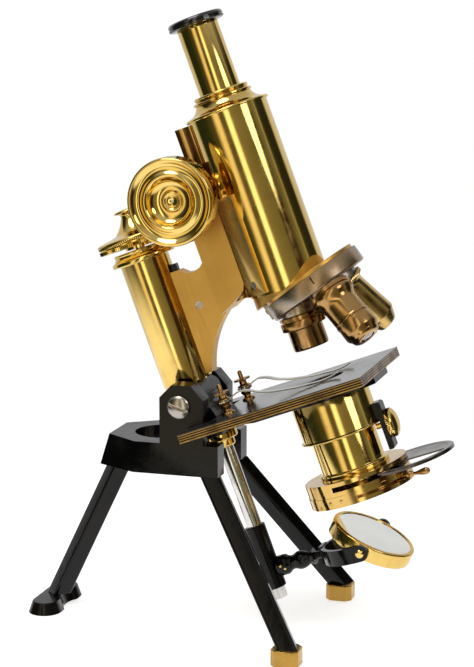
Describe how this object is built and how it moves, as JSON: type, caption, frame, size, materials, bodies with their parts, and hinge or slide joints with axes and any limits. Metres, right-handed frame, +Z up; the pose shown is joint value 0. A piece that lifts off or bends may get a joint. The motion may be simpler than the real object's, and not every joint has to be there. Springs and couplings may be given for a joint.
{
  "type": "compound microscope",
  "caption": "Brass compound microscope on a black tripod: tilting limb, rack and screw focusing, draw tube, turning nosepiece, stage with clips, condenser with iris, swinging mirror.",
  "frame": {"origin": "on the table under the middle of the object's bounding box, in the pose of the picture (tube leaning back)", "axes": "+Z up, +X from the pillar towards the stage's front, +Y to the left of someone at the eyepiece"},
  "size_m": [0.275, 0.1508, 0.3887],
  "materials": {
    "black_enamel": "gloss black stoved enamel",
    "brass": "polished and lacquered brass",
    "brass_satin": "fine-grained lacquered brass",
    "bronze": "brown-lacquered brass",
    "nickel_worn": "worn grey plating over brass",
    "steel": "polished steel",
    "dark_steel": "darkened steel",
    "stage_black": "polished near-black face",
    "eyepiece_black": "turned black mount, engine-ringed",
    "glass": "optical glass",
    "mirror_glass": "silvered glass"
  },
  "bodies": {
    "stand": {"tripod_head": "black_enamel", "rear_leg": "black_enamel", "front_leg_right": "black_enamel", "front_leg_left": "black_enamel", "front_shoes": "brass", "rear_foot": "black_enamel", "trunnion_screws": "steel"},
    "limb": {"joint_block": "black_enamel", "stage_bracket": "black_enamel", "stage_plate": "brass", "stage_face": "stage_black", "clip_posts": "brass", "tail_rod_collar": "brass", "substage_sleeve": "brass", "substage_guide": "black_enamel", "pillar_core": "brass", "fine_focus_spring": "steel"},
    "clip_right": {"stage_clip_right": "steel"},
    "clip_left": {"stage_clip_left": "steel"},
    "arm": {"pillar_sleeve": "brass", "arm_plate": "brass_satin", "arm_screw": "steel", "arm_stop": "black_enamel"},
    "fine_head": {"fine_focus_head": "brass", "micrometer_screw": "steel"},
    "pinion_shaft": {"pinion": "steel", "coarse_knob_right": "brass", "coarse_knob_left": "brass"},
    "body_tube": {"body_tube": "brass", "body_collar": "brass", "tube_cradle": "brass_satin", "cradle_screws": "steel", "rack": "steel", "nosepiece_plate": "brass_satin", "turret_catch": "nickel_worn", "turret_screw": "steel"},
    "draw_tube": {"draw_tube": "brass"},
    "eyepiece": {"eyepiece_body": "eyepiece_black", "eyepiece_lenses": "glass"},
    "turret": {"turret": "nickel_worn", "objective_low": "bronze", "objective_medium": "bronze", "objective_high": "brass", "objective_lenses": "glass"},
    "condenser": {"condenser_tube": "brass", "condenser_lens": "glass", "iris_housing": "brass", "iris_base": "brass", "iris_leaves": "dark_steel"},
    "iris_lever": {"iris_lever": "bronze"},
    "filter_carrier": {"filter_carrier": "dark_steel", "light_stop": "dark_steel"},
    "clamp_screw": {"clamp_screw": "brass"},
    "tail_rod": {"tail_rod": "steel"},
    "mirror_carriage": {"mirror_sleeve": "black_enamel", "mirror_arm": "black_enamel"},
    "mirror_fork": {"mirror_fork": "black_enamel", "mirror_pivot_screws": "brass"},
    "mirror": {"mirror_cell": "brass", "mirror_glasses": "mirror_glass"}
  },
  "joints": [
    {"name": "limb_tilt", "type": "hinge", "parent": "stand", "child": "limb", "pos_m": [-0.02916, 0, 0.1457], "axis": [0, -1, 0], "range_deg": [-20.7, 69.3]},
    {"name": "fine_focus_slide", "type": "slide", "parent": "limb", "child": "arm", "axis": [-0.3535, 0, 0.9354], "range_m": [-0.0008, 0.0008]},
    {"name": "fine_focus_turn", "type": "hinge", "parent": "arm", "child": "fine_head", "pos_m": [-0.06586, 0, 0.24226], "axis": [-0.3535, 0, 0.9354], "range_deg": [-721, 721]},
    {"name": "coarse_focus_slide", "type": "slide", "parent": "arm", "child": "body_tube", "axis": [-0.3535, 0, 0.9354], "range_m": [-0.003, 0.035]},
    {"name": "coarse_focus_turn", "type": "hinge", "parent": "arm", "child": "pinion_shaft", "pos_m": [-0.02904, 0, 0.27467], "axis": [0, -1, 0], "range_deg": [-31, 360]},
    {"name": "draw_tube_slide", "type": "slide", "parent": "body_tube", "child": "draw_tube", "axis": [-0.3535, 0, 0.9354], "range_m": [-0.041, 0.045]},
    {"name": "eyepiece_lift", "type": "slide", "parent": "draw_tube", "child": "eyepiece", "axis": [-0.3535, 0, 0.9354], "range_m": [0, 0.045]},
    {"name": "turret_turn", "type": "hinge", "parent": "body_tube", "child": "turret", "pos_m": [0.05245, 0, 0.21801], "axis": [-0.6115, 0, 0.7912], "continuous": true},
    {"name": "condenser_slide", "type": "slide", "parent": "limb", "child": "condenser", "axis": [-0.3535, 0, 0.9354], "range_m": [-0.007, 0.0023]},
    {"name": "iris_lever_turn", "type": "hinge", "parent": "condenser", "child": "iris_lever", "pos_m": [0.07997, 0, 0.09596], "axis": [-0.3535, 0, 0.9354], "range_deg": [-59, 0]},
    {"name": "filter_carrier_swing", "type": "hinge", "parent": "condenser", "child": "filter_carrier", "pos_m": [0.09358, 0.025, 0.10945], "axis": [-0.3535, 0, 0.9354], "range_deg": [-70, 40]},
    {"name": "clamp_screw_turn", "type": "hinge", "parent": "limb", "child": "clamp_screw", "pos_m": [0.0964, 0, 0.13734], "axis": [0.9354, 0, 0.3535], "range_deg": [0, 360]},
    {"name": "clip_right_swing", "type": "hinge", "parent": "limb", "child": "clip_right", "pos_m": [-0.00255, -0.0218, 0.14913], "axis": [-0.3535, 0, 0.9354], "range_deg": [-45, 9]},
    {"name": "clip_left_swing", "type": "hinge", "parent": "limb", "child": "clip_left", "pos_m": [-0.00255, 0.0218, 0.14913], "axis": [0.3535, 0, -0.9354], "range_deg": [-45, 9]},
    {"name": "tail_rod_swing", "type": "hinge", "parent": "limb", "child": "tail_rod", "pos_m": [0.0059, 0, 0.07696], "axis": [-0.3535, 0, 0.9354], "range_deg": [-12, 12]},
    {"name": "mirror_carriage_slide", "type": "slide", "parent": "tail_rod", "child": "mirror_carriage", "axis": [-0.3535, 0, 0.9354], "range_m": [-0.008, 0.004]},
    {"name": "mirror_fork_swivel", "type": "hinge", "parent": "mirror_carriage", "child": "mirror_fork", "pos_m": [0.0546, 0, 0.04992], "axis": [0.9354, 0, 0.3535], "range_deg": [-35, 35]},
    {"name": "mirror_tilt", "type": "hinge", "parent": "mirror_fork", "child": "mirror", "pos_m": [0.08678, 0, 0.06208], "axis": [0, 1, 0], "continuous": true}
  ],
  "couplings": [
    {"joint": "fine_focus_turn", "follows": "fine_focus_slide", "rad_per_m": 15708},
    {"joint": "coarse_focus_turn", "follows": "coarse_focus_slide", "rad_per_m": 178.57}
  ]
}
